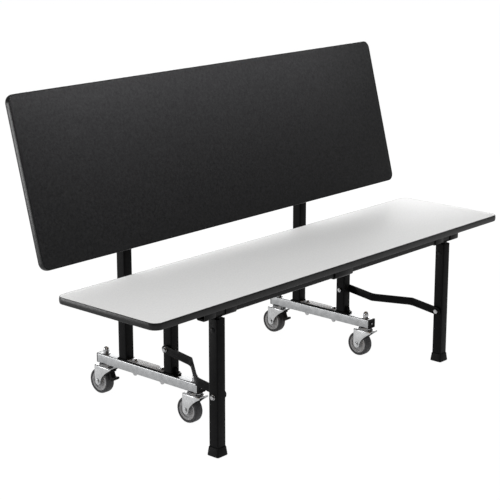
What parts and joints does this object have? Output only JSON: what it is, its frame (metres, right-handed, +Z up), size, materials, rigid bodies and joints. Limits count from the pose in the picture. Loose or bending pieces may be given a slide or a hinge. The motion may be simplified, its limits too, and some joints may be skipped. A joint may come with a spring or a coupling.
{
  "type": "convertible bench table on casters",
  "caption": "Mobile bench with a laminate seat and a tabletop tilted up behind it as a backrest, on caster rails with folding front legs.",
  "frame": {"origin": "on the floor, at the centre of the bench's footprint", "axes": "+X along the bench to the right, +Y towards the backrest, +Z up"},
  "size_m": [1.5306, 0.6482, 0.9349],
  "materials": {
    "seat_laminate": "pale grey laminate, satin",
    "top_laminate": "charcoal laminate with a fine mottle, satin",
    "board": "raw particle board",
    "edging": "black vinyl edging, low gloss",
    "black_paint": "black powder coat",
    "black_plastic": "moulded black plastic",
    "zinc": "bright zinc plate",
    "grey_plastic": "moulded grey plastic",
    "tyre": "dark grey rubber tread"
  },
  "bodies": {
    "carriages": {"caster_rail_left": "zinc", "front_post_left": "black_paint", "rear_post_left": "black_paint", "link_post_bolt_left": "zinc", "top_pivot_bolt_left": "zinc", "rail_cap_front_left": "black_plastic", "foot_bolt_front_left": "zinc", "caster_stem_front_left": "zinc", "rail_cap_rear_left": "black_plastic", "foot_bolt_rear_left": "zinc", "caster_stem_rear_left": "zinc", "caster_rail_right": "zinc", "front_post_right": "black_paint", "rear_post_right": "black_paint", "link_post_bolt_right": "zinc", "top_pivot_bolt_right": "zinc", "rail_cap_front_right": "black_plastic", "foot_bolt_front_right": "zinc", "caster_stem_front_right": "zinc", "rail_cap_rear_right": "black_plastic", "foot_bolt_rear_right": "zinc", "caster_stem_rear_right": "zinc"},
    "seat": {"seat_board": "board", "seat_laminate": "seat_laminate", "seat_edging": "edging", "seat_stiffener_tube": "black_paint", "stiffener_saddle": "black_paint", "leg_bracket_left": "black_paint", "seat_hinge_left": "black_paint", "leg_bracket_right": "black_paint", "seat_hinge_right": "black_paint"},
    "tabletop": {"top_board": "board", "top_laminate": "top_laminate", "top_edging": "edging", "tilt_bracket_left": "black_paint", "tilt_bracket_right": "black_paint"},
    "left_leg": {"leg_left": "black_paint", "boot_left": "black_plastic", "link_leg_bolt_left": "zinc"},
    "left_link": {"link_left": "black_paint"},
    "left_knob": {"lock_knob_left": "black_plastic"},
    "front_left_fork": {"caster_fork_front_left": "zinc"},
    "front_left_wheel": {"wheel_hub_front_left": "grey_plastic", "tyre_front_left": "tyre"},
    "rear_left_fork": {"caster_fork_rear_left": "zinc"},
    "rear_left_wheel": {"wheel_hub_rear_left": "grey_plastic", "tyre_rear_left": "tyre"},
    "left_pedal": {"brake_pedal_left": "black_plastic"},
    "right_leg": {"leg_right": "black_paint", "boot_right": "black_plastic", "link_leg_bolt_right": "zinc"},
    "right_link": {"link_right": "black_paint"},
    "right_knob": {"lock_knob_right": "black_plastic"},
    "front_right_fork": {"caster_fork_front_right": "zinc"},
    "front_right_wheel": {"wheel_hub_front_right": "grey_plastic", "tyre_front_right": "tyre"},
    "rear_right_fork": {"caster_fork_rear_right": "zinc"},
    "rear_right_wheel": {"wheel_hub_rear_right": "grey_plastic", "tyre_rear_right": "tyre"},
    "right_pedal": {"brake_pedal_right": "black_plastic"}
  },
  "joints": [
    {"name": "seat_fold", "type": "hinge", "parent": "carriages", "child": "seat", "pos_m": [0, -0.00015, 0.386], "axis": [-1, 0, 0], "range_deg": [0, 90]},
    {"name": "top_tilt", "type": "hinge", "parent": "carriages", "child": "tabletop", "pos_m": [0, 0.18145, 0.69942], "axis": [1, 0, 0], "range_deg": [-75.25, 0]},
    {"name": "leg_fold_left", "type": "hinge", "parent": "seat", "child": "left_leg", "pos_m": [-0.509, -0.28845, 0.3485], "axis": [1, 0, 0], "range_deg": [0, 90]},
    {"name": "link_swing_left", "type": "hinge", "parent": "carriages", "child": "left_link", "pos_m": [-0.387, -0.00015, 0.202], "axis": [-1, 0, 0], "range_deg": [0, 90]},
    {"name": "lock_knob_left_turn", "type": "hinge", "parent": "carriages", "child": "left_knob", "pos_m": [-0.387, 0.18145, 0.65442], "axis": [-1, 0, 0], "range_deg": [0, 180]},
    {"name": "swivel_front_left", "type": "hinge", "parent": "carriages", "child": "front_left_fork", "pos_m": [-0.387, -0.09185, 0.0879], "axis": [0, 0, 1], "continuous": true},
    {"name": "wheel_front_left", "type": "hinge", "parent": "front_left_fork", "child": "front_left_wheel", "pos_m": [-0.387, -0.07085, 0.038], "axis": [1, 0, 0], "continuous": true},
    {"name": "swivel_rear_left", "type": "hinge", "parent": "carriages", "child": "rear_left_fork", "pos_m": [-0.387, 0.26515, 0.0879], "axis": [0, 0, 1], "continuous": true},
    {"name": "wheel_rear_left", "type": "hinge", "parent": "rear_left_fork", "child": "rear_left_wheel", "pos_m": [-0.387, 0.28615, 0.038], "axis": [1, 0, 0], "continuous": true},
    {"name": "brake_pedal_left_press", "type": "hinge", "parent": "rear_left_fork", "child": "left_pedal", "pos_m": [-0.387, 0.24515, 0.0749], "axis": [1, 0, 0], "range_deg": [0, 12]},
    {"name": "leg_fold_right", "type": "hinge", "parent": "seat", "child": "right_leg", "pos_m": [0.509, -0.28845, 0.3485], "axis": [1, 0, 0], "range_deg": [0, 90]},
    {"name": "link_swing_right", "type": "hinge", "parent": "carriages", "child": "right_link", "pos_m": [0.387, -0.00015, 0.202], "axis": [-1, 0, 0], "range_deg": [0, 90]},
    {"name": "lock_knob_right_turn", "type": "hinge", "parent": "carriages", "child": "right_knob", "pos_m": [0.387, 0.18145, 0.65442], "axis": [1, 0, 0], "range_deg": [0, 180]},
    {"name": "swivel_front_right", "type": "hinge", "parent": "carriages", "child": "front_right_fork", "pos_m": [0.387, -0.09185, 0.0879], "axis": [0, 0, 1], "continuous": true},
    {"name": "wheel_front_right", "type": "hinge", "parent": "front_right_fork", "child": "front_right_wheel", "pos_m": [0.387, -0.07085, 0.038], "axis": [1, 0, 0], "continuous": true},
    {"name": "swivel_rear_right", "type": "hinge", "parent": "carriages", "child": "rear_right_fork", "pos_m": [0.387, 0.26515, 0.0879], "axis": [0, 0, 1], "continuous": true},
    {"name": "wheel_rear_right", "type": "hinge", "parent": "rear_right_fork", "child": "rear_right_wheel", "pos_m": [0.387, 0.28615, 0.038], "axis": [1, 0, 0], "continuous": true},
    {"name": "brake_pedal_right_press", "type": "hinge", "parent": "rear_right_fork", "child": "right_pedal", "pos_m": [0.387, 0.24515, 0.0749], "axis": [1, 0, 0], "range_deg": [0, 12]}
  ],
  "couplings": [
    {"joint": "leg_fold_left", "follows": "seat_fold", "ratio": 1},
    {"joint": "link_swing_left", "follows": "seat_fold", "ratio": 1},
    {"joint": "leg_fold_right", "follows": "seat_fold", "ratio": 1},
    {"joint": "link_swing_right", "follows": "seat_fold", "ratio": 1}
  ]
}
